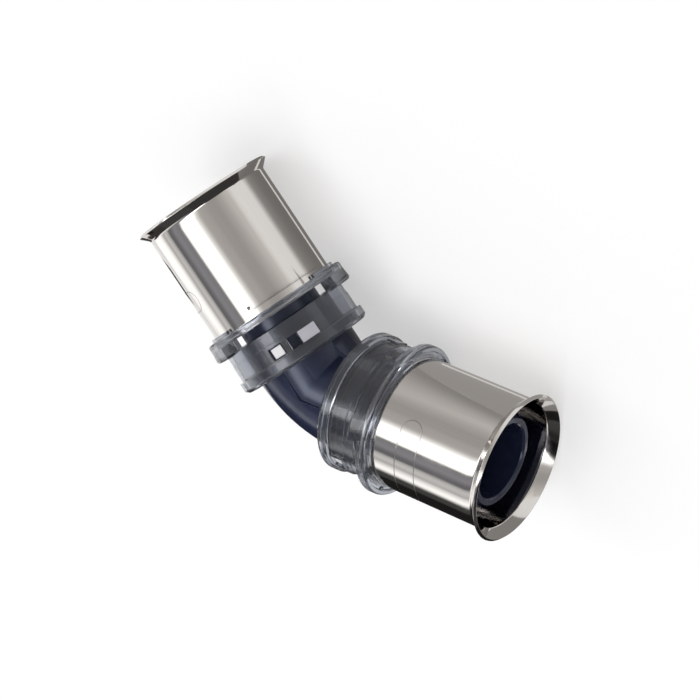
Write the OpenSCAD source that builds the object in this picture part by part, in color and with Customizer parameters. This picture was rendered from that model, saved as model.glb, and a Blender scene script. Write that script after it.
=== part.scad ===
// Press elbow for plastic composite pipe. A moulded body turns the line by 45 degrees and has a
// spigot at each end. The pipe slides over the spigot and under a steel sleeve, which is then
// pressed. Two sealing rings lie on each spigot, and a clear holder with sight slots keeps the sleeve.
// Lengths are in millimetres. The elbow lies flat on the ground with the inside of its bend towards +Y.
// Distances along an arm are counted from the point where the two arm axes cross.

/* [Body] */
// angle by which the elbow turns the line, in degrees
bend_turn = 45; // [35:1:55]
// outside diameter of the bend
bend_diameter = 35.6; // [34.6:0.1:37]
// diameter of the waterway
bore_diameter = 25; // [20:0.5:26]
// step in the waterway where the curved middle meets the straight arms
bore_step = 0.3; // [0.1:0.05:0.6]
// depth by which the side panels lie under the bend surface
panel_inset = 0.45; // [0.2:0.05:0.8]
// distance from the arm axes to the stepped edge of the side panels
panel_edge = 4.5; // [2:0.5:7]
// width of the web left standing along the inside of the bend
web_width = 7.6; // [5:0.2:10]
// diameter of the collar that carries the sleeve holder
collar_diameter = 42; // [41:0.1:42.4]
// distance from the crossing to the back of the collar
collar_back = 13.7; // [13.3:0.1:14.5]
// thickness of the collar
collar_thickness = 2.9; // [2:0.1:3.2]
// diameter of the shoulder that stops the pipe
stop_diameter = 34.4; // [33:0.2:36]
// distance from the crossing to the face that stops the pipe
stop_reach = 26.3; // [25:0.1:27]
// height of the flat snap teeth above the axis
tooth_height = 21.9; // [21.5:0.05:22.1]
// width of a snap tooth
tooth_width = 3.9; // [3:0.1:4.2]

/* [Spigot] */
// outside diameter of the spigot
spigot_diameter = 31.7; // [31:0.1:31.8]
// diameter of the waist seen through the sight slots
waist_diameter = 28.8; // [28:0.1:30]
// length of the waist
waist_length = 4.2; // [3:0.1:6]
// distance from the crossing to the end of the spigot
spigot_reach = 68.5; // [64:0.5:72]
// length of the lead-in taper at the end of the spigot
nose_length = 2; // [1:0.1:4]
// diameter of the end face of the spigot
nose_diameter = 29.4; // [28.6:0.1:30.6]
// chamfer at the edge of the waterway
bore_chamfer = 0.6; // [0.2:0.1:0.9]

/* [Sealing rings] */
// thickness of the rubber sealing rings
seal_thickness = 2; // [1.6:0.1:2.4]
// height by which a sealing ring stands out of the spigot
seal_proud = 0.2; // [0.05:0.05:0.25]
// distance from the crossing to the inner sealing ring
inner_seal_reach = 39; // [35:0.5:42]
// distance from the crossing to the outer sealing ring
outer_seal_reach = 52; // [48:0.5:60]
// extra width of the grooves beyond the sealing ring
seal_groove_play = 0.6; // [0.2:0.1:1]
// gap between a sealing ring and the floor of its groove
seal_gap = 0.05; // [0.02:0.01:0.1]

/* [Press sleeve] */
// outside diameter of the press sleeve
sleeve_diameter = 44; // [43.6:0.1:44.4]
// sheet thickness of the press sleeve
sleeve_wall = 1.2; // [0.8:0.1:1.3]
// distance from the crossing to the widest edge of the sleeve mouth
sleeve_reach = 73.9; // [66:0.1:80]
// height by which the mouth flares out of the sleeve
flare_height = 2.65; // [1:0.05:4]
// height of the bead that keeps the sleeve in its holder
bead_height = 0.6; // [0.4:0.05:0.7]
// width of the bead
bead_width = 1; // [0.8:0.1:1.1]
// radius of the small punched dimples
dimple_radius = 0.65; // [0.4:0.05:0.9]
// distance from the crossing to the dimples
dimple_reach = 35.8; // [35:0.1:40]

/* [Sleeve holder] */
// clearance between the holder and the pieces that it holds
holder_play = 0.3; // [0.2:0.05:0.4]
// distance from the crossing to the back face of the holder
holder_back = 12.5; // [12:0.1:12.9]
// diameter of the back rim of the holder
rim_diameter = 47.2; // [46.4:0.1:48]
// distance from the crossing to the front of the back rim
rim_front = 16.5; // [16:0.1:16.8]
// bevel at the back edge of the back rim
rim_bevel = 1; // [0.4:0.1:1.2]
// height by which the back lip catches the collar
snap_catch = 0.8; // [0.4:0.1:1.2]
// diameter of the neck
neck_diameter = 44.8; // [44.4:0.1:45.4]
// inside diameter of the neck
neck_bore = 41.2; // [40.6:0.1:41.4]
// distance from the crossing to the fine step round the neck
neck_step_reach = 22.5; // [21.8:0.1:24]
// height of the fine step
neck_step = 0.2; // [0.1:0.05:0.4]
// diameter of the two wings between the sight slots
wing_diameter = 51.8; // [50.8:0.1:53]
// distance from the crossing to the back of the wings
wing_back = 25.7; // [25.2:0.1:26]
// diameter of the front disc
disc_diameter = 51.2; // [50:0.1:52.6]
// distance from the crossing to the back of the front disc
disc_back = 29.8; // [29:0.1:30.4]
// thickness of the front disc
disc_thickness = 2.7; // [2.2:0.1:3.4]
// radius of the rounded outer edges of the disc and the wings
edge_radius = 1; // [0.4:0.1:1.2]
// width of the raised outer rim on the front face
front_rim = 1.5; // [1.2:0.1:1.7]
// depth of the recess in the front face
recess_depth = 0.9; // [0.4:0.1:1]
// thickness of the inner lip round the sleeve
lip_thickness = 1.1; // [0.8:0.05:1.2]
// height of the inner lip above the front face
lip_height = 1.1; // [0.4:0.1:2]
// depth of the notches that split the inner lip, from the front face
notch_depth = 1.6; // [1.1:0.1:1.8]
// angle covered by each notch, in degrees
notch_span = 22; // [10:1:40]
// angle covered by each sight slot, in degrees
slot_span = 111; // [90:1:116]
// angle by which the lowered lip stays clear of each end of a sight slot, in degrees
lip_margin = 10; // [6:1:16]
// depth by which the lowered lip lies under the front face
lip_drop = 0.2; // [0.1:0.05:0.3]
// direction of the windows round each arm, in degrees from the inside of the bend
window_turn = -45; // [-60:5:-30]

/* [Windows] */
// distance from the crossing to the lower edge of the windows
window_low = 17; // [16.9:0.05:17.2]
// height of the windows along the arm
window_height = 4.1; // [3.6:0.1:4.6]
// angle of the framed window from the middle of its group, in degrees
framed_turn = -16; // [-17:0.5:-15.5]
// angle covered by the framed window, in degrees
framed_span = 13; // [12.5:0.5:14]
// angle covered by the raised frame, in degrees
frame_span = 20.3; // [18:0.1:21]
// angle by which the middle of the raised frame lies beside its window, in degrees
frame_shift = 0.4; // [0:0.1:0.6]
// height of the raised frame above the neck
frame_height = 0.35; // [0.2:0.05:0.6]
// angle of the open window from the middle of its group, in degrees
open_turn = 0.6; // [0.4:0.1:0.8]
// angle covered by the open window, in degrees
open_span = 9.6; // [8:0.1:10]
// angle of the flat pad from the middle of its group, in degrees
pad_turn = 14.5; // [14.3:0.1:16]
// width of the flat pad
pad_width = 6.5; // [5.5:0.1:6.8]
// height of the flat pad above the axis
pad_height = 22.65; // [22.5:0.05:22.9]

/* [Hidden] */
$fn = 72;
arm_angle = 90 - bend_turn / 2;
bend_radius = collar_back * tan(arm_angle);
bend_centre = collar_back / cos(arm_angle);
panel_radius = bend_diameter / 2 - panel_inset;
collar_front = collar_back + collar_thickness;
waist_end = stop_reach + waist_length;
spigot_radius = spigot_diameter / 2;
seal_centre = spigot_radius + seal_proud - seal_thickness / 2;
groove_floor = seal_centre - seal_thickness / 2 - seal_gap;
groove_width = seal_thickness + seal_groove_play;
sleeve_radius = sleeve_diameter / 2;
sleeve_bore = sleeve_radius - sleeve_wall;
flare_base = sleeve_reach - flare_height;
edge_step = sleeve_wall / sqrt(2);
bore_corner = sleeve_wall * (sqrt(2) - 1);
disc_front = disc_back + disc_thickness;
lip_bore = sleeve_radius + holder_play;
bead_bore = sleeve_radius + bead_height + holder_play;
bead_room = bead_width + holder_play;
lip_edge = lip_bore + lip_thickness;
rim_inner = disc_diameter / 2 - front_rim;
collar_room = collar_diameter / 2 + holder_play;
catch_radius = collar_diameter / 2 - snap_catch;
tooth_base = neck_bore / 2 - holder_play;
top_side = sleeve_reach * cos(arm_angle) + (sleeve_radius + flare_height) * sin(arm_angle);
low_side = (holder_back + rim_bevel) * cos(arm_angle) - rim_diameter / 2 * sin(arm_angle);
wing_rise = sin(min(90, 180 + window_turn - slot_span / 2));
rest_height = max(disc_diameter, wing_diameter * wing_rise) / 2;
overrun = 3;
sink = 0.5;
hair = 0.01;

// sets a piece on the ground, with the origin under the middle of the whole elbow
module placed() { translate([0, -(top_side + low_side) / 2, rest_height]) children(); }

// places children so that their Z axis runs along the first arm and X points to the inside of the bend
module along_a() { rotate([-90, 0, arm_angle]) children(); }

// the same for the second arm
module along_b() { rotate([90, 0, 180 - arm_angle]) children(); }

// part of a square ring, from radius r0 to r1 and from height z0 to z1, centred on one direction
module sector(r0, r1, z0, z1, middle, span) {
    rotate([0, 0, middle - span / 2])
        rotate_extrude(angle = span) translate([r0, z0]) square([r1 - r0, z1 - z0]);
}

// curved middle of the body with a round section of the given radius
module bend(r) {
    translate([0, bend_centre, 0]) rotate([0, 0, -90 - bend_turn / 2])
        rotate_extrude(angle = bend_turn) translate([bend_radius, 0]) circle(r);
}

// the two arms as plain rods that cross at the origin
module crossed_rods(r, back, reach) {
    along_a() translate([0, 0, -back]) cylinder(h = reach + back, r = r);
    along_b() translate([0, 0, -back]) cylinder(h = reach + back, r = r);
}

// prism over the side panels, a V whose edge runs beside both arm axes
module panel_prism() {
    corner = [0, panel_edge / sin(arm_angle)];
    along = [sin(arm_angle), cos(arm_angle)] * bend_diameter;
    up = [0, bend_diameter * 2];
    linear_extrude(bend_diameter)
        polygon([corner, corner + along, corner + along + up,
                 corner + [-along[0], along[1]] + up, corner + [-along[0], along[1]]]);
}

// bend with the two side panels sunk to a pair of mitred rods
module panelled_bend() {
    difference() {
        bend(bend_diameter / 2);
        for (side = [0, 1]) mirror([0, 0, side]) difference() {
            translate([0, 0, web_width / 2]) panel_prism();
            crossed_rods(panel_radius, bend_diameter, bend_diameter);
        }
    }
}

// collar, stop shoulder and spigot as one turned outline
module spigot() {
    r = spigot_radius;
    half = groove_width / 2;
    root = panel_radius - sink;
    rotate_extrude() polygon([
        [0, collar_back - overrun], [root, collar_back - overrun], [root, collar_back],
        [collar_diameter / 2, collar_back], [collar_diameter / 2, collar_front],
        [stop_diameter / 2, collar_front], [stop_diameter / 2, stop_reach],
        [waist_diameter / 2, stop_reach], [waist_diameter / 2, waist_end], [r, waist_end],
        [r, inner_seal_reach - half], [groove_floor, inner_seal_reach - half],
        [groove_floor, inner_seal_reach + half], [r, inner_seal_reach + half],
        [r, outer_seal_reach - half], [groove_floor, outer_seal_reach - half],
        [groove_floor, outer_seal_reach + half], [r, outer_seal_reach + half],
        [r, spigot_reach - nose_length], [nose_diameter / 2, spigot_reach], [0, spigot_reach]]);
}

// flat-topped tooth that snaps into a framed window of the holder
module snap_tooth() {
    top = window_low + window_height - holder_play;
    root = stop_diameter / 2 - 2 * sink;
    rotate([0, 0, framed_turn]) {
        translate([root, -tooth_width / 2, collar_front - sink])
            cube([tooth_base - root, tooth_width, top - collar_front + sink]);
        translate([root, -tooth_width / 2, window_low + holder_play])
            cube([tooth_height - root, tooth_width, window_height - 2 * holder_play]);
    }
}

// everything of the body on one arm
module body_arm() {
    spigot();
    for (side = [0, 180]) rotate([0, 0, window_turn + side]) snap_tooth();
}

// waterway of one arm with a chamfered mouth
module bore_arm() {
    r = bore_diameter / 2;
    translate([0, 0, collar_back - overrun / 2]) cylinder(h = spigot_reach - collar_back + overrun, r = r);
    translate([0, 0, spigot_reach - bore_chamfer])
        cylinder(h = bore_chamfer * 2, r1 = r, r2 = r + bore_chamfer * 2);
}

module elbow_body() color([0.13, 0.15, 0.25]) placed() {
    difference() {
        union() {
            panelled_bend();
            along_a() body_arm();
            along_b() body_arm();
        }
        bend(bore_diameter / 2 - bore_step);
        along_a() bore_arm();
        along_b() bore_arm();
    }
}

// sheet sleeve with a bead at the holder, a flared mouth and a dimple over each window group
module press_sleeve() {
    r = sleeve_radius;
    bead = r + bead_height;
    difference() {
        rotate_extrude() polygon([
            [sleeve_bore, disc_back], [bead - bead_width / 4, disc_back], [bead, disc_back + bead_width / 4],
            [bead, disc_back + bead_width / 2], [r, disc_back + bead_width],
            [r, flare_base], [r + flare_height, sleeve_reach],
            [r + flare_height - edge_step, sleeve_reach + edge_step],
            [sleeve_bore, flare_base + bore_corner]]);
        for (side = [0, 180]) rotate([0, 0, window_turn + framed_turn + side])
            translate([r + dimple_radius / 2, 0, dimple_reach]) sphere(dimple_radius);
    }
}

// turned outline of the holder, before the slots and windows are cut
module holder_outline() {
    wing = wing_diameter / 2;
    disc = disc_diameter / 2;
    neck = neck_diameter / 2;
    e = edge_radius;
    polygon([
        [catch_radius, holder_back], [rim_diameter / 2 - rim_bevel, holder_back],
        [rim_diameter / 2, holder_back + rim_bevel], [rim_diameter / 2, rim_front],
        [neck, rim_front], [neck, neck_step_reach], [neck - neck_step, neck_step_reach],
        [neck - neck_step, wing_back], [wing - e, wing_back], [wing, wing_back + e],
        [disc, disc_back], [disc, disc_front - e], [disc - e, disc_front],
        [rim_inner, disc_front], [rim_inner, disc_front - recess_depth],
        [lip_edge, disc_front - recess_depth], [lip_edge, disc_front + lip_height],
        [lip_bore, disc_front + lip_height], [lip_bore, disc_back + bead_room],
        [bead_bore, disc_back + bead_room], [bead_bore, disc_back], [neck_bore / 2, disc_back],
        [neck_bore / 2, collar_front + holder_play], [collar_room, collar_front + holder_play],
        [collar_room, collar_back], [catch_radius, collar_back]]);
    translate([disc - e, disc_front - e]) circle(e);
    translate([wing - e, wing_back + e]) circle(e);
}

// cuts over one sight slot: the slot, the wing behind it, and the lowered, split lip in front
module slot_cuts() {
    far = wing_diameter / 2 + overrun;
    near = neck_bore / 2 - overrun;
    sector(near, far, stop_reach, disc_back, 0, slot_span);
    sector(neck_diameter / 2 - neck_step, far, wing_back - overrun, stop_reach + hair, 0, slot_span);
    sector(near, lip_edge + hair, disc_front - lip_drop, disc_front + lip_height + overrun, 0,
           slot_span - 2 * lip_margin);
    sector(bead_bore, (lip_edge + rim_inner) / 2, disc_front - notch_depth, disc_front + overrun, 0,
           notch_span);
}

// windows of one group
module window_cuts() {
    near = neck_bore / 2 - overrun;
    far = neck_diameter / 2 + overrun;
    sector(near, far, window_low, window_low + window_height, framed_turn, framed_span);
    sector(near, far, window_low, window_low + window_height, open_turn, open_span);
}

// raised frame and flat pad of one group
module window_trim() {
    neck = neck_diameter / 2;
    sector(neck - sink, neck + frame_height, rim_front - sink, neck_step_reach, framed_turn + frame_shift,
           frame_span);
    rotate([0, 0, pad_turn]) translate([neck - 2 * sink, -pad_width / 2, window_low])
        cube([pad_height - neck + 2 * sink, pad_width, window_height]);
}

module sleeve_holder() {
    difference() {
        union() {
            rotate_extrude() holder_outline();
            for (side = [0, 180]) rotate([0, 0, window_turn + side]) window_trim();
        }
        for (side = [0, 180]) rotate([0, 0, window_turn + side]) {
            slot_cuts();
            window_cuts();
        }
    }
}

module seal(reach) {
    translate([0, 0, reach]) rotate_extrude() translate([seal_centre, 0]) circle(seal_thickness / 2);
}

module press_sleeve_a() color([0.75, 0.74, 0.72]) placed() along_a() press_sleeve();
module press_sleeve_b() color([0.75, 0.74, 0.72]) placed() along_b() press_sleeve();
module sleeve_holder_a() color([0.35, 0.36, 0.38]) placed() along_a() sleeve_holder();
module sleeve_holder_b() color([0.35, 0.36, 0.38]) placed() along_b() sleeve_holder();
module inner_seal_a() color([0.05, 0.05, 0.05]) placed() along_a() seal(inner_seal_reach);
module outer_seal_a() color([0.05, 0.05, 0.05]) placed() along_a() seal(outer_seal_reach);
module inner_seal_b() color([0.05, 0.05, 0.05]) placed() along_b() seal(inner_seal_reach);
module outer_seal_b() color([0.05, 0.05, 0.05]) placed() along_b() seal(outer_seal_reach);

elbow_body();
press_sleeve_a();
press_sleeve_b();
sleeve_holder_a();
sleeve_holder_b();
inner_seal_a();
outer_seal_a();
inner_seal_b();
outer_seal_b();
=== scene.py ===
# %% [markdown]
# A press elbow joins two plastic composite pipes at an angle. It is a moulded navy body with a spigot at
# each end, a polished steel sleeve over each spigot, and a clear smoke-grey holder that snaps on the
# body and keeps the sleeve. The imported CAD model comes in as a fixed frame. Everything below either gives
# a CAD piece its finish or stands exactly where a CAD piece stands.

# %% Frame
import math

import bmesh
import bpy
import numpy as np
from mathutils import Matrix, Vector


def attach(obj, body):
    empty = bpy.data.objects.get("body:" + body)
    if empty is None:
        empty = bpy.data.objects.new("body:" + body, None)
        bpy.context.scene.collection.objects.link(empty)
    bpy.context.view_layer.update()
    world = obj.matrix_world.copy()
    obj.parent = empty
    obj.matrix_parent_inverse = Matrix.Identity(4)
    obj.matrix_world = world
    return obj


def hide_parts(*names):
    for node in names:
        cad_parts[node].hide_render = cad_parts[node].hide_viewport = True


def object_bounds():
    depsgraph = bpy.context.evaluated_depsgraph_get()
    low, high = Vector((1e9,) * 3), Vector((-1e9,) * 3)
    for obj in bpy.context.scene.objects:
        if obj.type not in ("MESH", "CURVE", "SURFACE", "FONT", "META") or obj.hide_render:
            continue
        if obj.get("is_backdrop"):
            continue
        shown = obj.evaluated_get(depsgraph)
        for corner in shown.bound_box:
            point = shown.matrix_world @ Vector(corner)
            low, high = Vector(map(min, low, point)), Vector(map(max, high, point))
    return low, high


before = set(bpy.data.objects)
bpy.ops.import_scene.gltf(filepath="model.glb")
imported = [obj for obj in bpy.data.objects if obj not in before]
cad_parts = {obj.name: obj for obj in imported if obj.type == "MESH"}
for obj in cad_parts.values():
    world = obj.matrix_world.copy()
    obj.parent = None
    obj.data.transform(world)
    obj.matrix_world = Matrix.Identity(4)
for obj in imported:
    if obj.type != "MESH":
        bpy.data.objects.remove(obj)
scene = bpy.context.scene
MM = 0.001


def shown_box():
    """Lowest and highest corner of everything shown, in metres."""
    return [list(corner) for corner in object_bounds()]


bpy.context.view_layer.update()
print("nodes:", sorted(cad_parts))

# %% [markdown]
# The camera was found by fitting the outlines of both arms to the photograph. It looks down at 43 degrees
# from the inner side of the bend and is rolled so far over that the elbow hangs diagonally in the picture.
# A camera could also be aimed by a Track To constraint, but that leaves the roll open. Here its axes are
# written down instead: a camera looks along its own -Z axis, so its matrix has right, up and backwards as
# columns. A long lens keeps the two mouths nearly the same size.

# %% Camera
CAMERA_PLACE = Vector((194.2647, 553.7452, 568.2886))
LOOK = Vector((-0.242307, -0.691441, -0.680585))
UP = Vector((-0.632926, 0.644317, -0.429256))

camera = bpy.data.objects.new("camera", bpy.data.cameras.new("camera"))
scene.collection.objects.link(camera)
scene.camera = camera
camera.data.sensor_width = 36
camera.data.lens = 127.345
camera.data.clip_start, camera.data.clip_end = 0.05, 20
columns = Matrix((LOOK.cross(UP), UP, -LOOK)).transposed().to_4x4()
camera.matrix_world = Matrix.Translation(CAMERA_PLACE * MM) @ columns
print("camera distance in mm:", round(camera.location.length / MM), "lens:", round(camera.data.lens, 1))

# %% [markdown]
# A material is a tree of nodes, and a tree written out call by call is hard to read. A few short helpers
# wire the nodes, so that a material or the world reads as a list of what it does. An input that is a
# number, a colour or a vector is written on the socket, and one that is another node's output is linked.

# %% Node helpers


def feed(tree, target, value):
    """Links an output to a socket, or writes a constant on it."""
    if isinstance(value, bpy.types.NodeSocket):
        tree.links.new(value, target)
    else:
        target.default_value = value


def add(tree, kind, inputs=(), **settings):
    """New node of a kind, with its settings and with its inputs given by name or number."""
    node = tree.nodes.new(kind)
    for name, value in settings.items():
        setattr(node, name, value)
    for key, value in dict(inputs).items():
        feed(tree, node.inputs[key], value)
    return node


def calc(tree, operation, *values):
    """Output of a Math node on up to three values."""
    node = add(tree, "ShaderNodeMath", operation=operation)
    for k, value in enumerate(values):
        feed(tree, node.inputs[k], value)
    return node.outputs[0]


def fade(tree, value, low, high, to_low=0.0, to_high=1.0):
    """Smooth step: while the value goes from low to high, the output goes from to_low to to_high."""
    limits = {"Value": value, "From Min": low, "From Max": high, "To Min": to_low, "To Max": to_high}
    return add(tree, "ShaderNodeMapRange", limits, interpolation_type="SMOOTHSTEP").outputs["Result"]


def mix(tree, factor, a, b):
    """Colour between a and b."""
    node = add(tree, "ShaderNodeMix", data_type="RGBA")
    for socket, value in zip((node.inputs[0], node.inputs[6], node.inputs[7]), (factor, a, b)):
        feed(tree, socket, value)
    return node.outputs[2]


def ramp(tree, value, stops):
    """Colour ramp over 0 to 1 from (place, tone) stops, where a tone is a grey or a colour."""
    node = add(tree, "ShaderNodeValToRGB", {"Fac": value})
    elements = node.color_ramp.elements
    elements.remove(elements[1])
    for k, (place, tone) in enumerate(stops):
        element = elements[0] if k == 0 else elements.new(place)
        element.position = place
        element.color = (*(tone if isinstance(tone, tuple) else (tone, tone, tone)), 1)
    return node.outputs["Color"]


def principled(name, **values):
    """New material with constants on its Principled BSDF's sockets; returns it, its tree and inputs."""
    material = bpy.data.materials.new(name)
    material.use_nodes = True
    shader = material.node_tree.nodes["Principled BSDF"]
    for key, value in values.items():
        socket = shader.inputs[key.replace("_", " ")]
        socket.default_value = (*value, 1) if isinstance(value, tuple) else value
    return material, material.node_tree, shader.inputs


print("helpers:", [tool.__name__ for tool in (feed, add, calc, fade, mix, ramp, principled)])

# %% [markdown]
# Polished steel has hardly a colour of its own: what one sees on it is the room. The bands on the two
# sleeves tell where the studio had its lights, so the world is built from them. Real softboxes modelled as
# lamps would do it too, but a world keeps every band a single number. It is a set of long bands that run
# from left to right over the elbow. A bright ceiling strip lies straight above, a dim band and a pale
# window follow on the far side, and a warm grey wall stands on the camera's side. The angle over the top is
# atan2(y - SLANT * x, z): 0 is straight up and 90 is the camera's horizon.

# %% Studio bands
SLANT = 0.226
COOL, WARM = (0.98, 0.98, 1.06), (1.03, 1.0, 0.965)


def tint(tone, colour):
    """Grey tone tinted by a colour."""
    return tuple(tone * c for c in colour)


BANDS = [
    (-90, 0.72), (-74, 0.85), (-61, 0.75), (-55, 0.55), (-50, 0.29), (-43, 0.4), (-37, 0.3),
    (-34, tint(0.085, COOL)), (-29, tint(0.1, COOL)), (-22, tint(0.17, COOL)), (-12, tint(0.14, COOL)),
    (-9.5, 0.13), (-8, 0.85), (15, 0.9), (20, 0.52), (25, tint(0.3, WARM)), (28, tint(0.27, WARM)),
    (36, tint(0.26, WARM)), (44, tint(0.225, WARM)), (58, tint(0.22, WARM)), (70, tint(0.27, WARM)),
    (90, tint(0.37, WARM)), (110, tint(0.45, WARM)),
]
world = bpy.data.worlds.new("studio")
scene.world = world
world.use_nodes = True
sky = world.node_tree
sky.nodes.clear()
looking = add(sky, "ShaderNodeTexCoord").outputs["Generated"]
direction = add(sky, "ShaderNodeSeparateXYZ", {0: looking}).outputs
east, north, height = direction["X"], direction["Y"], direction["Z"]
over = calc(sky, "ARCTAN2", calc(sky, "MULTIPLY_ADD", east, -SLANT, north), height)
place = calc(sky, "MULTIPLY_ADD", over, 0.5 / math.pi, 0.5)
bands = ramp(sky, place, [((angle + 180) / 360, tone) for angle, tone in BANDS])
print("bands in the world:", len(BANDS))

# %% [markdown]
# On the side of arm b the low bands are swallowed by a dark corner of the room. It is a mask of two soft
# steps: how far a direction points to that corner, and how low it points. The ceiling strip is a strong
# light box. Steel only clips to white in it, but plastic reflects a twentieth and would hardly show it, so
# glossy rays see the strip brighter than diffuse rays do.

# %% Dark corner and light box
CORNER, CORNER_SIDE, CORNER_DEPTH = (0.695, -0.719), (0.36, 0.5), 0.96
CORNER_TILT, CORNER_TOP = -0.18, (0.29, 0.46)
STRIP_START, STRIP_END = np.radians([-6, -2]), np.radians([9, 14])
STRIP_BOOST, WORLD_STRENGTH = 1.6, 2.0

toward = calc(sky, "MULTIPLY_ADD", east, CORNER[0], calc(sky, "MULTIPLY", north, CORNER[1]))
low = fade(sky, calc(sky, "MULTIPLY_ADD", east, CORNER_TILT, height), *CORNER_TOP, 1, 0)
dark = calc(sky, "MULTIPLY", low, fade(sky, toward, *CORNER_SIDE))
glossy = add(sky, "ShaderNodeLightPath").outputs["Is Glossy Ray"]
strip = calc(sky, "MULTIPLY", fade(sky, over, *STRIP_START), fade(sky, over, *STRIP_END, 1, 0))
boost = calc(sky, "MULTIPLY_ADD", calc(sky, "MULTIPLY", strip, glossy), STRIP_BOOST, 1.0)
level = calc(sky, "MULTIPLY", boost, calc(sky, "MULTIPLY_ADD", dark, -CORNER_DEPTH, 1.0))
strength = calc(sky, "MULTIPLY", level, WORLD_STRENGTH)
light = add(sky, "ShaderNodeBackground", {"Color": bands, "Strength": strength})
add(sky, "ShaderNodeOutputWorld", {"Surface": light.outputs[0]})
scene.view_settings.view_transform = "Standard"
print("nodes in the world:", len(sky.nodes))

# %% [markdown]
# One soft lamp over the far side gives the elbow its shadow on the floor. The floor is white paper. A lamp
# strong enough to make paper white would wash out the elbow, so the paper's own colour under the light
# stays below white, and a little emission for camera, glossy and transmission rays lifts it to a pure
# white that also shows in the steel and through the clear holders.

# %% Lamp and floor
FLOOR_HALF, FLOOR_LIFT = 8.0, 0.5

lamp = bpy.data.objects.new("soft_lamp", bpy.data.lights.new("soft_lamp", "AREA"))
scene.collection.objects.link(lamp)
lamp.data.size, lamp.data.energy = 0.4, 1.6
lamp.location = (0.05, -0.25, 0.9)
lamp.rotation_euler = (-lamp.location).to_track_quat("-Z", "Y").to_euler()
lamp.visible_glossy = False

floor_mesh = bpy.data.meshes.new("floor")
corners = [(-1, -1, 0), (1, -1, 0), (1, 1, 0), (-1, 1, 0)]
floor_mesh.from_pydata((np.array(corners) * FLOOR_HALF).tolist(), [], [(0, 1, 2, 3)])
floor = bpy.data.objects.new("floor", floor_mesh)
scene.collection.objects.link(floor)
paper, tree, inputs = principled("white_paper", Base_Color=(0.55, 0.55, 0.55), Roughness=1.0,
                                 Specular_IOR_Level=0.0, Emission_Color=(1.0, 1.0, 1.0))
path = add(tree, "ShaderNodeLightPath").outputs
mirrored = calc(tree, "MAXIMUM", path["Is Glossy Ray"], path["Is Transmission Ray"])
seen = calc(tree, "MAXIMUM", path["Is Camera Ray"], mirrored)
feed(tree, inputs["Emission Strength"], calc(tree, "MULTIPLY", seen, FLOOR_LIFT))
floor_mesh.materials.append(paper)
floor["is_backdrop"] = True
print("lamp distance in mm:", round(lamp.location.length / MM))

# %% [markdown]
# Each arm has its own axes, in which turned pieces are easiest to describe: the reach along the arm from
# the crossing of the two arm axes, the radius from the arm axis, and the angle from the inside of the
# bend. The elbow turns the line by 45 degrees, so each arm leans 67.5 degrees from the middle line.

# %% Arms
LEAN = math.radians(67.5)
CROSSING = np.array([0.0, -17.2083, 25.6])
AXIS = {arm: np.array([s * math.sin(LEAN), math.cos(LEAN), 0.0]) for arm, s in (("a", -1), ("b", 1))}
INSIDE = {arm: np.array([-s * math.cos(LEAN), math.sin(LEAN), 0.0]) for arm, s in (("a", -1), ("b", 1))}
SIDE = {"a": np.array([0.0, 0.0, -1.0]), "b": np.array([0.0, 0.0, 1.0])}


def on_arm(arm, reach, radius, angle):
    """Point in metres: crossing + reach * axis + radius * (cos(angle) * inside + sin(angle) * side)."""
    reach, radius, angle = (v[..., None] for v in np.broadcast_arrays(reach, radius, angle))
    around = np.cos(angle) * INSIDE[arm] + np.sin(angle) * SIDE[arm]
    return (CROSSING + reach * AXIS[arm] + radius * around) * MM


def off_arm(arm, points):
    """The other way: reach, radius and angle in millimetres and radians of points in metres."""
    p = points / MM - CROSSING
    reach, x, y = p @ AXIS[arm], p @ INSIDE[arm], p @ SIDE[arm]
    return reach, np.hypot(x, y), np.arctan2(y, x)


def turned_by(angle):
    """The same angle between -pi and pi."""
    return (angle + np.pi) % (2 * np.pi) - np.pi


for arm in "ab":
    print("arm", arm, "ends at", np.round(on_arm(arm, 74.75, 0.0, 0.0) / MM, 2))

# %% [markdown]
# A photographer shapes the reflections in metal with cards that stand just outside the picture. Lamps would
# light the floor too, so flat cards do it here as well: only glossy rays see them, and they throw no light
# and no shadow. A card may run from one tone to another, fade out along a direction, and have a transparent
# back, so that it works on one arm and not on the other.

# %% Card maker
CARD_LIGHT = (1.0, 0.97, 0.945)


def card(name, corners, tones, across=(0, 0, 1), span=(0, 1), fading=None, one_sided=False):
    """Flat card from its corners in millimetres, seen only in reflections.

    Its tone is one number, or goes from the first to the second while the distance along the vector across
    goes through the span. With fading it grows transparent while the distance along fading[0] goes from
    fading[1] to fading[2].
    """
    mesh = bpy.data.meshes.new(name)
    mesh.from_pydata((np.array(corners) * MM).tolist(), [], [tuple(range(len(corners)))])
    piece = bpy.data.objects.new(name, mesh)
    scene.collection.objects.link(piece)
    piece.visible_camera = piece.visible_diffuse = piece.visible_transmission = piece.visible_shadow = False
    material, tree, inputs = principled(name, Base_Color=(0.0, 0.0, 0.0), Roughness=1.0,
                                        Specular_IOR_Level=0.0, Emission_Color=CARD_LIGHT)
    material.cycles.emission_sampling = "NONE"
    where = add(tree, "ShaderNodeTexCoord").outputs["Object"]

    def along(vector, low, high, start, end):
        product = add(tree, "ShaderNodeVectorMath", {0: where, 1: vector}, operation="DOT_PRODUCT")
        return fade(tree, product.outputs["Value"], low * MM, high * MM, start, end)

    tone = along(across, *span, *tones) if isinstance(tones, tuple) else tones
    feed(tree, inputs["Emission Strength"], tone)
    alpha = along(*fading, 1.0, 0.0) if fading else 1.0
    if one_sided:
        front = calc(tree, "SUBTRACT", 1.0, add(tree, "ShaderNodeNewGeometry").outputs["Backfacing"])
        alpha = calc(tree, "MULTIPLY", front, alpha)
    feed(tree, inputs["Alpha"], alpha)
    mesh.materials.append(material)
    piece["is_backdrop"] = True
    return piece


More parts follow.
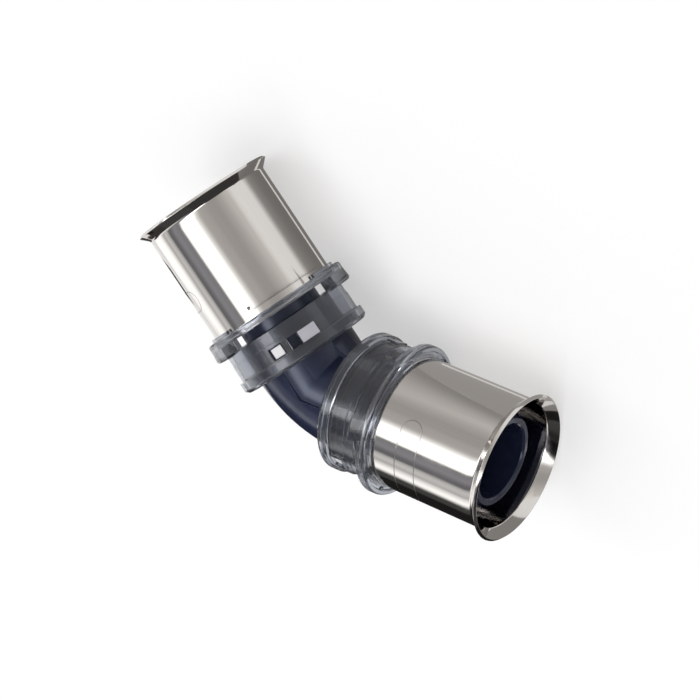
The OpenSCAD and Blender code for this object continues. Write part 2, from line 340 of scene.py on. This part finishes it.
def across_arm(arm, places):
    """Corners in millimetres from (reach, distance to the inside, height) places beside an arm."""
    places = np.array(places, float)
    ground = CROSSING + places[:, :1] * AXIS[arm] + places[:, 1:2] * INSIDE[arm]
    return np.concatenate([ground[:, :2], places[:, 2:]], 1)


print("30 mm along arm a the floor point is", np.round(across_arm("a", [(30, 0, 0)])[0], 1))

# %% [markdown]
# These cards lie low. A black flag behind arm b gives its lower side a dark edge. Grey cards between the
# arms calm the sides that face each other, one lies before the mouth of arm b, and a pale one stands up
# between the arms. A tall pale card far behind the inside of the bend fills the last bands of arm a.

# %% Low and standing cards
TOWARD_BEND = tuple(INSIDE["a"])
UPWARDS = (0, 0, 1)
cards = [
    card("black_flag", [(0, -42, 0.4), (400, -42, 0.4), (400, -160, 60), (-92, -160, 60)], 0.015),
    card("low_card_a", [(-80, 10, 0.3), (-20, -14, 0.3), (0, -14, 0.3), (0, 85, 0.3), (-80, 110, 0.3)],
         (0.22, 0.4), across=TOWARD_BEND, span=(5, 40), fading=(TOWARD_BEND, 26, 46)),
    card("low_card_b", [(0, -14, 0.3), (20, -14, 0.3), (75, 8, 0.3), (75, 85, 0.3), (0, 85, 0.3)], 0.42),
    card("mouth_card", [(80, -42, 0.4), (150, -42, 0.4), (150, 22, 0.4), (80, 22, 0.4)], 0.3),
    card("standing_card", [(0, 24, 0.5), (0, 150, 0.5), (0, 150, 46), (0, 24, 46)], (0.34, 0.62),
         span=(4, 40), fading=(UPWARDS, 36, 46), one_sided=True),
    card("far_card", across_arm("a", [(-150, 300, 90), (350, 300, 90), (350, 300, 0.5), (-150, 300, 0.5)]),
         (0.97, 0.72), span=(0, 50), fading=(UPWARDS, 50, 90), one_sided=True),
]
print("cards:", [piece.name for piece in cards])

# %% [markdown]
# The flared mouth of arm a mirrors a fan of directions that no long band can darken alone. A reflection in
# the sleeve itself hardly moves along the arm, while one in the flare runs back along it. So two dark cards
# that stand square to the arm, beside its holder, darken the flare and leave the sleeve bright. A small
# slanted one does the same for the tip of the flare. A thin light strip on the floor beside each arm draws
# a fine line along the lower edge of its sleeve.

# %% Flare flags and thin lights
FLAG_TONE = 0.05


def square_to_arm(arm, reach, places):
    """Corners of a card that stands square to an arm, from (distance to the inside, height) places."""
    return across_arm(arm, [(reach, *place) for place in places])


def floor_strip(arm, inner, outer):
    """Corners of a strip on the floor along an arm, between two distances to the inside."""
    return across_arm(arm, [(30, inner, 0.8), (78, inner, 0.8), (78, outer, 0.8), (30, outer, 0.8)])


flare_places = [(10, 50), (10, 70), (60, 70), (60, 0.5), (25, 0.5), (26.2, 25.6), (19, 44)]
strip_places = [(-134, 8), (-106, 29), (-80, 44), (-50, 59), (-38, 62),
                (-38, 50), (-50, 46), (-80, 31), (-106, 15), (-122, 4)]
cards = [
    card("flare_flag", square_to_arm("a", 34.5, flare_places), FLAG_TONE, one_sided=True),
    card("tip_flag", [(-74, -62, 10.5), (-92, -62, 10.5), (-96, -84, 21.6), (-78, -84, 21.6)], FLAG_TONE),
    card("tip_strip", square_to_arm("a", 30, strip_places), FLAG_TONE, one_sided=True),
    card("thin_light_a", floor_strip("a", 16.4, 18.6), 0.9),
    card("thin_light_b", floor_strip("b", 17.2, 20.2), 0.8),
]
print("cards:", [piece.name for piece in cards])

# %% [markdown]
# Two effects are shared by several finishes, so each is a node group that is built once. Handling marks are
# the hair scratches and finger smudges that every smooth surface gets in a box of fittings: a warped noise
# is close to one half only along thin winding lines, and a larger noise lets them through in patches. The
# moulded skin is the faint unevenness of injection-moulded plastic, which makes its highlights run soft.

# %% Node groups


def group(name, values, outputs):
    """New node group with float inputs and their usual values; returns its tree, inputs and outputs."""
    tree = bpy.data.node_groups.new(name, "ShaderNodeTree")
    for label, value in values.items():
        socket = tree.interface.new_socket(label, in_out="INPUT", socket_type="NodeSocketFloat")
        socket.default_value = value
    for label in outputs:
        tree.interface.new_socket(label, in_out="OUTPUT", socket_type="NodeSocketFloat")
    return tree, tree.nodes.new("NodeGroupInput").outputs, tree.nodes.new("NodeGroupOutput").inputs


def use(tree, shared, **values):
    """Places a node group in a material and returns its outputs."""
    values = {key.replace("_", " "): value for key, value in values.items()}
    return add(tree, "ShaderNodeGroup", values, node_tree=shared).outputs


def noise(tree, vector, scale, **values):
    """Noise over a vector, about one half in the middle, with its other inputs by name."""
    return add(tree, "ShaderNodeTexNoise", {"Vector": vector, "Scale": scale, **values}).outputs[0]


marks, got, put = group("handling marks", {"Size": 1.0, "Amount": 1.0}, ["Scratch", "Smudge"])
where = add(marks, "ShaderNodeTexCoord").outputs["Object"]
sized = add(marks, "ShaderNodeVectorMath", {0: where, 3: got["Size"]}, operation="SCALE").outputs[0]
warped = noise(marks, sized, 260.0, Detail=4.0, Distortion=2.0)
hair = fade(marks, calc(marks, "ABSOLUTE", calc(marks, "SUBTRACT", warped, 0.5)), 0.0, 0.006, 1, 0)
patch = fade(marks, noise(marks, sized, 70.0, Detail=4.0, Roughness=0.6), 0.5, 0.68)
feed(marks, put["Scratch"], calc(marks, "MULTIPLY", calc(marks, "MULTIPLY", hair, patch), got["Amount"]))
feed(marks, put["Smudge"], calc(marks, "MULTIPLY", patch, got["Amount"]))

skin, got, put = group("moulded skin", {"Grain": 1500.0, "Flow": 140.0}, ["Height", "Cloud"])
where = add(skin, "ShaderNodeTexCoord").outputs["Object"]
grain = noise(skin, where, got["Grain"], Detail=2.0)
flow = noise(skin, where, got["Flow"], Detail=2.0, Distortion=0.6)
feed(skin, put["Height"], calc(skin, "MULTIPLY_ADD", grain, 0.12, flow))
feed(skin, put["Cloud"], flow)
print("shared groups:", marks.name, "and", skin.name)

# %% [markdown]
# The sleeves are drawn from stainless sheet and polished, so they stay mirror-like but not perfect. Fine
# draw lines run along the arm: a noise that is squeezed across the arm and stretched along it. Object
# coordinates would let the lines slip round the tube, so the sleeve has its own unrolled UV map in metres,
# the way round in U and the reach along the arm in V. Each sleeve also carries an empty etched frame, a thin
# rounded outline. It is the distance to a line segment, shown where that distance equals the frame's
# radius. Two small punched dimples per sleeve get painted shade: their bottoms are coloured darker, as a
# hollow in shade would look.

# %% Steel
# The dark tone colours the etched frame and is also painted shade at the bottom of the dimples.
STEEL_LIGHT, STEEL_DARK, ETCH_AND_PIT_SHADE = (0.68, 0.655, 0.63, 1), (0.62, 0.595, 0.57, 1), (0.2, 0.19, 0.18, 1)
FRAME_RADIUS, LINE_FADE, PIT_SHADE_FADE = 3.7 * MM, (0.1 * MM, 0.22 * MM), (0.5 * MM, 0.75 * MM)
SLEEVE_RADIUS = 22.0
WINDOWS, TOOTH = math.radians(-45), math.radians(-16)
DIMPLE_REACH, DIMPLE_RADIUS, DIMPLE_SINK = 35.8, 0.65, 0.325
DIMPLES = [WINDOWS + TOOTH, WINDOWS + TOOTH + math.pi]


def etched_frame(tree, around, reach, frame_from, frame_to, frame_reach):
    """1 on the outline of an unrolled rounded bar: distance to its middle segment equals FRAME_RADIUS."""
    middle, half = (frame_from + frame_to) / 2 * MM, (frame_to - frame_from) / 2 * MM
    beyond = calc(tree, "ABSOLUTE", calc(tree, "SUBTRACT", around, middle))
    beyond = calc(tree, "MAXIMUM", calc(tree, "SUBTRACT", beyond, half), 0.0)
    aside = calc(tree, "SUBTRACT", reach, frame_reach * MM)
    squares = calc(tree, "ADD", calc(tree, "POWER", beyond, 2.0), calc(tree, "POWER", aside, 2.0))
    away = calc(tree, "SQRT", squares)
    return fade(tree, calc(tree, "ABSOLUTE", calc(tree, "SUBTRACT", away, FRAME_RADIUS)), *LINE_FADE, 1, 0)


def dimple_pit_shade(tree, unrolled):
    """Painted shade mask, 1 at the bottom of each dimple: distance to its middle on the unrolled sleeve is
    below PIT_SHADE_FADE.
    """
    pit_shade = 0.0
    for angle in DIMPLES:
        middle = (angle * SLEEVE_RADIUS * MM, DIMPLE_REACH * MM, 0.0)
        away = add(tree, "ShaderNodeVectorMath", {0: unrolled, 1: middle}, operation="DISTANCE")
        pit_shade = calc(tree, "MAXIMUM", fade(tree, away.outputs["Value"], *PIT_SHADE_FADE, 1, 0), pit_shade)
    return pit_shade


def polished_steel(name, frame_from, frame_to, frame_reach):
    """Steel with draw lines, hair scratches, painted dimple shade and one etched frame, given in millimetres
    round and along.
    """
    material, tree, inputs = principled(name, Metallic=1.0, Roughness=0.12)
    unrolled = add(tree, "ShaderNodeUVMap", uv_map="unrolled").outputs[0]
    around, reach, _ = add(tree, "ShaderNodeSeparateXYZ", {0: unrolled}).outputs
    drawn = add(tree, "ShaderNodeMapping", {"Vector": unrolled, "Scale": (2400.0, 40.0, 1.0)}).outputs[0]
    lines = noise(tree, drawn, 1.0, Detail=4.0)
    worn = use(tree, marks, Size=1.0, Amount=0.8)
    etch = etched_frame(tree, around, reach, frame_from, frame_to, frame_reach)
    pit_shade = dimple_pit_shade(tree, unrolled)
    clean = mix(tree, lines, STEEL_DARK, STEEL_LIGHT)
    clean = mix(tree, calc(tree, "MULTIPLY", etch, 0.75), clean, ETCH_AND_PIT_SHADE)
    # Painted shade: the bottoms of the dimples are mixed towards the dark tone.
    feed(tree, inputs["Base Color"], mix(tree, calc(tree, "MULTIPLY", pit_shade, 0.85), clean, ETCH_AND_PIT_SHADE))
    rough = calc(tree, "MULTIPLY_ADD", lines, 0.05, 0.055)
    for effect, share in ((worn["Smudge"], 0.04), (worn["Scratch"], 0.12), (pit_shade, 0.3), (etch, 0.25)):
        rough = calc(tree, "MULTIPLY_ADD", effect, share, rough)
    feed(tree, inputs["Roughness"], rough)
    flat = calc(tree, "SUBTRACT", 1.0, etch)
    bump = add(tree, "ShaderNodeBump", {"Height": flat, "Strength": 0.1, "Distance": 0.02 * MM})
    feed(tree, inputs["Normal"], bump.outputs[0])
    return material


steel = {"a": polished_steel("polished_steel_a", -62.0, -43.5, 47.3),
         "b": polished_steel("polished_steel_b", 22.0, 46.6, 46.0)}
print("steel finishes:", [finish.name for finish in steel.values()])

# %% [markdown]
# The body is moulded in a very dark navy plastic with a satin gloss. Its colour barely changes, but its
# reflections do: the skin makes them soft and a little wavy, and handling marks dull them in patches. The
# rubber of the sealing rings uses the same skin, duller, and so do two spots in the sight windows that
# get a painted reflection: a pale colour for the light box mirrored on their flat faces.

# %% Navy plastic and rubber


def moulded(name, dark, light, rough, bump, worn_by, **values):
    """Opaque plastic or rubber: colour from dark to light, with skin in its bump and marks in its gloss."""
    material, tree, inputs = principled(name, **values)
    surface = use(tree, skin)
    worn = use(tree, marks, Size=0.8, Amount=worn_by)
    cloud = fade(tree, surface["Cloud"], 0.3, 0.7)
    feed(tree, inputs["Base Color"], mix(tree, cloud, (*dark, 1), (*light, 1)))
    gloss = calc(tree, "MULTIPLY_ADD", worn["Smudge"], 0.08, rough)
    feed(tree, inputs["Roughness"], calc(tree, "MULTIPLY_ADD", worn["Scratch"], 0.15, gloss))
    relief = calc(tree, "MULTIPLY_ADD", worn["Scratch"], -0.3, surface["Height"])
    node = add(tree, "ShaderNodeBump", {"Height": relief, "Strength": bump, "Distance": 0.05 * MM})
    feed(tree, inputs["Normal"], node.outputs[0])
    return material


navy = moulded("navy_plastic", (0.015, 0.019, 0.046), (0.020, 0.025, 0.058), 0.18, 0.25, 1.0, IOR=1.5,
               Specular_Tint=(0.8, 0.86, 1.0))
rubber = moulded("black_rubber", (0.009, 0.009, 0.009), (0.014, 0.014, 0.014), 0.5, 0.5, 0.5,
                 Specular_IOR_Level=0.3)
# Painted reflections: pale colours that stand in for the light box mirrored on the flat tooth top and pad.
tooth_reflection_paint = moulded("painted_tooth_reflection", (0.8, 0.8, 0.82), (0.86, 0.86, 0.88), 0.3, 0.2, 0.3)
pad_reflection_paint = moulded("painted_pad_reflection", (0.56, 0.55, 0.62), (0.62, 0.61, 0.68), 0.45, 0.4, 0.3)

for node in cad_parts:
    if "seal" in node:
        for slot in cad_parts[node].material_slots:
            slot.material = rubber
        print(node, "gets", rubber.name)

# %% [markdown]
# The holders are clear plastic with a smoke tint, and the tint has to grow with the thickness. A tinted
# surface would darken every ray by the same amount, so the surface is clear here and the inside absorbs
# light on the way: long paths through the rims go dark, and thin walls stay pale.

# %% Smoke plastic
SMOKE_TINT, SMOKE_DENSITY = (0.30, 0.31, 0.33, 1), 80.0

smoke, tree, inputs = principled("smoke_plastic", Base_Color=(0.60, 0.62, 0.67), Roughness=0.06, IOR=1.46,
                                 Transmission_Weight=0.96)
surface, worn = use(tree, skin), use(tree, marks, Size=1.2, Amount=0.8)
gloss = calc(tree, "MULTIPLY_ADD", worn["Smudge"], 0.06, 0.04)
feed(tree, inputs["Roughness"], calc(tree, "MULTIPLY_ADD", worn["Scratch"], 0.12, gloss))
bump = add(tree, "ShaderNodeBump", {"Height": surface["Height"], "Strength": 0.3, "Distance": 0.05 * MM})
feed(tree, inputs["Normal"], bump.outputs[0])
tinted = add(tree, "ShaderNodeVolumeAbsorption", {"Color": SMOKE_TINT, "Density": SMOKE_DENSITY})
tree.links.new(tinted.outputs[0], tree.nodes["Material Output"].inputs["Volume"])
kept = math.exp(-SMOKE_DENSITY * (1 - SMOKE_TINT[1]) * 2 * MM)
print("share of light left after 2 mm of smoke plastic:", round(kept, 2))

# %% [markdown]
# Body and holders keep their CAD shape but not its knife-sharp edges. A moulded edge is always a little
# rounded, and it is this rounding that catches the light as a thin line. A Bevel modifier can do it, but on
# narrow steps and tight curves an even bevel runs into itself. So every sharp edge gets a weight: a share of
# the room that the edges around it leave, worked out while the mesh is still all triangles.

# %% Room for the rounding
EDGE_ANGLE = math.radians(28)
ROOM_SHARE = 0.35


def room(edge):
    """Least distance to the side, in metres, that the edges which meet an edge leave for its rounding."""
    least = 1.0
    for vert in edge.verts:
        along = (edge.other_vert(vert).co - vert.co).normalized()
        for other in vert.link_edges:
            aside = other.other_vert(vert).co - vert.co
            if other != edge and other.calc_face_angle(0) < EDGE_ANGLE:
                least = min(least, aside.cross(along).length)
            elif other != edge:
                least = min(least, aside.length)
    return least


def weigh_edges(bm, width):
    """Marks edges as smooth or sharp; weight of a sharp one = min(1, ROOM_SHARE * room / width)."""
    weight = bm.edges.layers.float.new("bevel_weight_edge")
    for edge in bm.edges:
        edge.smooth = edge.calc_face_angle(0) < EDGE_ANGLE
        if not edge.smooth:
            edge[weight] = min(1.0, ROOM_SHARE * room(edge) / width)
    return sum(not edge.smooth for edge in bm.edges)


print("an edge is sharp from this angle in degrees:", round(math.degrees(EDGE_ANGLE)))

# %% [markdown]
# The CAD mesh is loose triangles, so a copy of it is welded first. Its flat areas are joined, because a
# bevel needs whole faces beside an edge. One face can't run round a hole, though, and a flat ring would
# become such a face, so planes through the axis of each arm cut the rings into quarters.

# %% Rounded moulded pieces
WELD, FLAT_ANGLE = 2e-7, math.radians(0.06)
BODY_ROUNDING, HOLDER_ROUNDING = 0.2 * MM, 0.12 * MM


def soft_copy(node, arms, width, materials, name):
    """Copy of a CAD node with welded vertices, joined flats and edges rounded to a width in metres."""
    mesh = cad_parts[node].data.copy()
    mesh.name = name
    piece = bpy.data.objects.new(name, mesh)
    scene.collection.objects.link(piece)
    bm = bmesh.new()
    bm.from_mesh(mesh)
    bmesh.ops.remove_doubles(bm, verts=bm.verts, dist=WELD)
    for face in bm.faces:
        face.smooth = True
    sharp = weigh_edges(bm, width)
    bmesh.ops.dissolve_limit(bm, angle_limit=FLAT_ANGLE, verts=bm.verts, edges=bm.edges)
    for arm in arms:
        for across in (INSIDE[arm], SIDE[arm]):
            everything = [*bm.verts, *bm.edges, *bm.faces]
            bmesh.ops.bisect_plane(bm, geom=everything, dist=1e-6, plane_co=CROSSING * MM, plane_no=across)
    bm.to_mesh(mesh)
    print(name, "sharp edges", sharp, "faces", len(bm.faces), "volume", round(bm.calc_volume() / MM**3, 1))
    bm.free()
    mesh.materials.clear()
    for material in materials:
        mesh.materials.append(material)
    bevel = piece.modifiers.new("soft_edges", "BEVEL")
    bevel.width, bevel.segments = width, 2
    bevel.limit_method = "WEIGHT"
    bevel.use_clamp_overlap = bevel.loop_slide = False
    bevel.miter_outer = "MITER_SHARP"
    bevel.harden_normals = True
    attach(piece, "root")
    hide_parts(node)
    return piece


body = soft_copy("elbow_body", "ab", BODY_ROUNDING, [navy, tooth_reflection_paint], "moulded_body")
holders = {}
for arm in "ab":
    name = f"clear_holder_{arm}"
    holders[arm] = soft_copy(f"sleeve_holder_{arm}", arm, HOLDER_ROUNDING, [smoke, pad_reflection_paint], name)

# %% [markdown]
# In the sight windows two small flat places get a painted reflection: a pale colour for the light box
# mirrored on them. One is the top of the snap tooth in the framed window, the other is the flat pad beside
# it. They could be picked by face number, but that changes with every new mesh, so they are found by where
# they lie on the arm.

# %% Painted reflections on the tooth top and pad
TOOTH_REACH, TOOTH_TOP, TOOTH_HALF_ANGLE = (16.8, 21.3), 21.03, math.radians(8)
PAD, PAD_REACH, PAD_HEIGHT, PAD_FACING = math.radians(14.5), (16, 22), 22.4, 0.9995


def face_places(mesh):
    """Centres and normals of all faces as arrays, in metres."""
    found = []
    for quality in ("center", "normal"):
        values = np.empty(len(mesh.polygons) * 3)
        mesh.polygons.foreach_get(quality, values)
        found.append(values.reshape(-1, 3))
    return found


def between(values, limits):
    """True where the values lie between two limits."""
    return (values > limits[0]) & (values < limits[1])


def paint(mesh, chosen, index):
    """Gives the chosen faces the material of an index; returns how many they are."""
    numbers = np.empty(len(mesh.polygons), int)
    mesh.polygons.foreach_get("material_index", numbers)
    numbers[chosen] = index
    mesh.polygons.foreach_set("material_index", numbers.tolist())
    return int(chosen.sum())


for arm in "ab":
    for group_turn in (WINDOWS, WINDOWS + math.pi):
        centre, _ = face_places(body.data)
        reach, radius, angle = off_arm(arm, centre)
        near = np.abs(turned_by(angle - (group_turn + TOOTH))) < TOOTH_HALF_ANGLE
        tops = near & between(reach, TOOTH_REACH) & (radius > TOOTH_TOP)
        centre, normal = face_places(holders[arm].data)
        reach, radius, angle = off_arm(arm, centre)
        facing = group_turn + PAD
        out = math.cos(facing) * INSIDE[arm] + math.sin(facing) * SIDE[arm]
        pads = (normal @ out > PAD_FACING) & between(reach, PAD_REACH) & (radius > PAD_HEIGHT)
        # Material 1 is the painted reflection on the tooth tops and the pads.
        tooth_count, pad_count = paint(body.data, tops, 1), paint(holders[arm].data, pads, 1)
        print("arm", arm, "tooth faces", tooth_count, "pad faces", pad_count)

# %% [markdown]
# A sleeve is a turned shape: one closed outline of its wall, carried round the arm. The sheet's edges and
# bends are rounded, which a modifier could not do as evenly on a wall of 1.2 mm, so each corner of the
# outline is replaced by an arc that touches both of its sides.

# %% Sleeve outline
SLEEVE = [
    (20.8, 29.8, 0.15), (22.35, 29.8, 0.1), (22.6, 30.05, 0.1), (22.6, 30.3, 0.1), (22.0, 30.8, 0.3),
    (22.0, 71.25, 1.2), (24.65, 73.9, 0.12), (23.801, 74.749, 0.12), (20.8, 71.748, 1.0),
]


def corner(before, at, after, radius, steps=6):
    """Arc that touches both sides of one corner of an outline in (radius, reach) coordinates.

    Its centre lies on the middle line between the sides, radius / sin(half the angle) from the corner.
    """
    u = (before - at) / np.linalg.norm(before - at)
    v = (after - at) / np.linalg.norm(after - at)
    half = math.acos(np.clip(u @ v, -1, 1)) / 2
    centre = at + (u + v) / np.linalg.norm(u + v) * radius / math.sin(half)
    start, end = (at + side * radius / math.tan(half) - centre for side in (u, v))
    first, last = math.atan2(start[1], start[0]), math.atan2(end[1], end[0])
    t = first + np.linspace(0, 1, steps) * turned_by(last - first)
    return centre + radius * np.stack([np.cos(t), np.sin(t)], 1)


def rounded(points):
    """Closed outline with every (radius, reach, rounding) corner turned into an arc."""
    at = np.array([p[:2] for p in points])
    arcs = [corner(at[k - 1], at[k], at[(k + 1) % len(at)], points[k][2]) for k in range(len(at))]
    return np.concatenate(arcs)


outline = rounded(SLEEVE)
print("points in the rounded outline:", len(outline))

# %% [markdown]
# The dimples are shallow caps of a ball, pressed into the outer wall. A boolean would leave ragged faces on
# a mirror-like surface. Instead, rows and columns of the grid lie closer together there, and the radius
# of the wall is lowered. First the rows: long sides of the outline are cut into steps.

# %% Rows of the sleeve
DIMPLE_GRID = np.linspace(-0.7, 0.7, 15)
OUTER_WALL, LONG_SIDE, ROW_STEP = SLEEVE_RADIUS - 0.1, 5, 2.0


def filled(outline, rows):
    """Outline with long sides cut into steps, and with points added where its outer wall passes the rows."""
    points = []
    for p, q in zip(outline, np.roll(outline, -1, 0)):
        count = max(1, int(np.linalg.norm(q - p) / ROW_STEP))
        cuts = list(np.linspace(0, 1, count, endpoint=False))
        if abs(q[1] - p[1]) > LONG_SIDE and p[0] > OUTER_WALL:
            cuts += [c for c in (rows - p[1]) / (q[1] - p[1]) if 0 < c < 1]
        points.append(p + (q - p) * np.unique(np.round(cuts, 6))[:, None])
    return np.concatenate(points)


profile = filled(outline, DIMPLE_REACH + DIMPLE_GRID)
print("points in the sleeve profile:", len(profile))

# %% [markdown]
# Then the whole wall: the profile is one direction of a grid and the way round is the other, and both close
# on themselves, so the piece has no seam and no pole. Screw or Spin would turn the same profile, but a grid
# worked out at once also takes the dimples and writes the unrolled UV map for the draw lines.

# %% Sleeve surface
COLUMNS = 240


def columns_round():
    """Angles round the sleeve: even ones, and a fine set across each dimple."""
    even = np.linspace(-np.pi, np.pi, COLUMNS, endpoint=False)
    fine = [centre + DIMPLE_GRID / SLEEVE_RADIUS for centre in DIMPLES]
    return np.unique(np.round(turned_by(np.concatenate([even, *fine])), 6))


def dimpled(radius, reach, angle):
    """Radius less the dimple's depth, sqrt(R * R - away * away) - (R - sink) where that is positive.

    R is the radius of the ball, and away is the distance to the dimple's middle on the unrolled outer wall.
    """
    for centre in DIMPLES:
        away = np.hypot(turned_by(angle - centre) * SLEEVE_RADIUS, reach - DIMPLE_REACH)
        depth = np.sqrt(np.maximum(DIMPLE_RADIUS**2 - away**2, 0)) - (DIMPLE_RADIUS - DIMPLE_SINK)
        radius = radius - np.where(radius > OUTER_WALL, np.maximum(depth, 0), 0)
    return radius


def turned(name, arm, profile, material):
    """Profile (radius, reach) carried round the arm: point(i, j) = on_arm(reach_i, radius_ij, angle_j)."""
    angle = columns_round()
    m, n = len(profile), len(angle)
    radius, reach = (np.repeat(profile[:, k:k + 1], n, 1) for k in (0, 1))
    spread = np.repeat(angle[None], m, 0)
    i, j = (v.ravel() for v in np.meshgrid(np.arange(m), np.arange(n), indexing="ij"))
    i2, j2 = (i + 1) % m, (j + 1) % n
    quads = np.stack([i * n + j, i * n + j2, i2 * n + j2, i2 * n + j], 1)
    points = on_arm(arm, reach, dimpled(radius, reach, spread), spread).reshape(-1, 3)
    mesh = bpy.data.meshes.new(name)
    mesh.from_pydata(points.tolist(), [], quads.tolist())
    ahead = np.where(j2 == 0, np.pi * 2 + angle[0], angle[j2])
    u = np.stack([angle[j], ahead, ahead, angle[j]], 1) * SLEEVE_RADIUS * MM
    v = np.stack([profile[i, 1], profile[i, 1], profile[i2, 1], profile[i2, 1]], 1) * MM
    mesh.uv_layers.new(name="unrolled").data.foreach_set("uv", np.stack([u, v], 2).ravel().tolist())
    mesh.polygons.foreach_set("use_smooth", [True] * len(mesh.polygons))
    bm = bmesh.new()
    bm.from_mesh(mesh)
    if bm.calc_volume(signed=True) < 0:
        bmesh.ops.reverse_faces(bm, faces=bm.faces)
    bm.to_mesh(mesh)
    print(name, "vertices", len(bm.verts), "volume in mm3", round(bm.calc_volume() / MM**3, 1))
    bm.free()
    mesh.materials.append(material)
    piece = bpy.data.objects.new(name, mesh)
    scene.collection.objects.link(piece)
    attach(piece, "root")
    return piece


for arm in "ab":
    sleeve = turned(f"steel_sleeve_{arm}", arm, profile, steel[arm])
    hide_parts(f"press_sleeve_{arm}")

# %% [markdown]
# The dressed model is meant to be as large as the CAD model, no more and no less. The box of everything
# shown is printed in millimetres.

# %% Sizes
print("shown box in mm:", np.round(np.array(shown_box()) / MM, 2).tolist())
